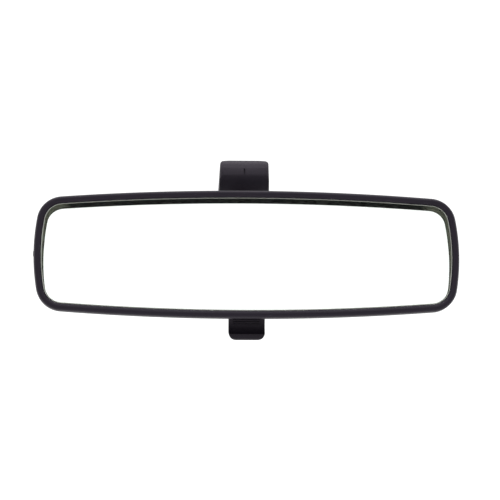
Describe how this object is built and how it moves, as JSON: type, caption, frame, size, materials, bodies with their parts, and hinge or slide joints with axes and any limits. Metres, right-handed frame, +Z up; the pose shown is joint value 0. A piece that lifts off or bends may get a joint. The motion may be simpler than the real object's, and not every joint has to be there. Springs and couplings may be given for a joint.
{
  "type": "interior rearview mirror",
  "caption": "Interior rearview mirror: wide rounded head on a ball-jointed arm that glues to the windscreen, with a dipping prism glass worked by a lever under the head.",
  "frame": {"origin": "centre of the face that is glued to the windscreen", "axes": "+X to the driver's right, +Y forward to the windscreen, +Z up; the glass faces -Y"},
  "size_m": [0.2456, 0.0647, 0.1103],
  "materials": {
    "foam_tape": "matt double-sided foam",
    "zinc": "satin die-cast zinc",
    "spring_wire": "drawn wire",
    "grained_plastic": "fine moulded grain, near black",
    "bezel_plastic": "semi-matt moulded plastic, near black",
    "lever_plastic": "semi-matt moulded plastic, near black",
    "stud_steel": "turned steel",
    "pin_steel": "ground steel",
    "nylon": "natural nylon",
    "spring_steel": "spring steel",
    "bracket_plastic": "glass-filled nylon, dark grey",
    "screw_steel": "zinc-plated steel",
    "mirror_glass": "clear float glass, ground edge",
    "silver": "silvered layer",
    "foam": "open-cell foam"
  },
  "bodies": {
    "mount": {"adhesive_pad": "foam_tape", "mount_button": "zinc", "lock_spring": "spring_wire", "mount_arm": "grained_plastic", "ball_stud": "stud_steel", "stud_pin": "pin_steel"},
    "liner": {"ball_liner": "nylon"},
    "clamp": {"clamp_shell": "spring_steel"},
    "bracket": {"toggle_bracket": "bracket_plastic", "socket_cap": "bracket_plastic", "seat_pad": "nylon", "pressure_spring": "spring_steel", "cap_screws": "screw_steel"},
    "head": {"rear_housing": "grained_plastic", "front_bezel": "bezel_plastic", "prism_glass": "mirror_glass", "silver_backing": "silver", "cushion_right": "foam", "cushion_left": "foam", "hinge_pin": "pin_steel", "pin_clips": "spring_steel", "lever_pin": "pin_steel", "detent_spring": "spring_steel", "detent_screw": "screw_steel"},
    "lever": {"dip_lever": "lever_plastic", "crank_pin": "pin_steel"}
  },
  "joints": [
    {"name": "ball_pan", "type": "hinge", "parent": "mount", "child": "liner", "pos_m": [0, -0.0285, -0.0497], "axis": [0, 0, 1], "range_deg": [-20, 20]},
    {"name": "ball_tilt", "type": "hinge", "parent": "liner", "child": "clamp", "pos_m": [0, -0.0285, -0.0497], "axis": [1, 0, 0], "range_deg": [-15, 15]},
    {"name": "ball_roll", "type": "hinge", "parent": "clamp", "child": "bracket", "pos_m": [0, -0.0285, -0.0497], "axis": [0, 1, 0], "range_deg": [-10, 10]},
    {"name": "head_dip", "type": "hinge", "parent": "bracket", "child": "head", "pos_m": [0, -0.038, -0.0287], "axis": [-1, 0, 0], "range_deg": [0, 4]},
    {"name": "lever_flip", "type": "hinge", "parent": "head", "child": "lever", "pos_m": [0, -0.036, -0.0837], "axis": [-1, 0, 0], "range_deg": [0, 50]}
  ],
  "couplings": [
    {"joint": "lever_flip", "follows": "head_dip", "ratio": 12.5}
  ]
}
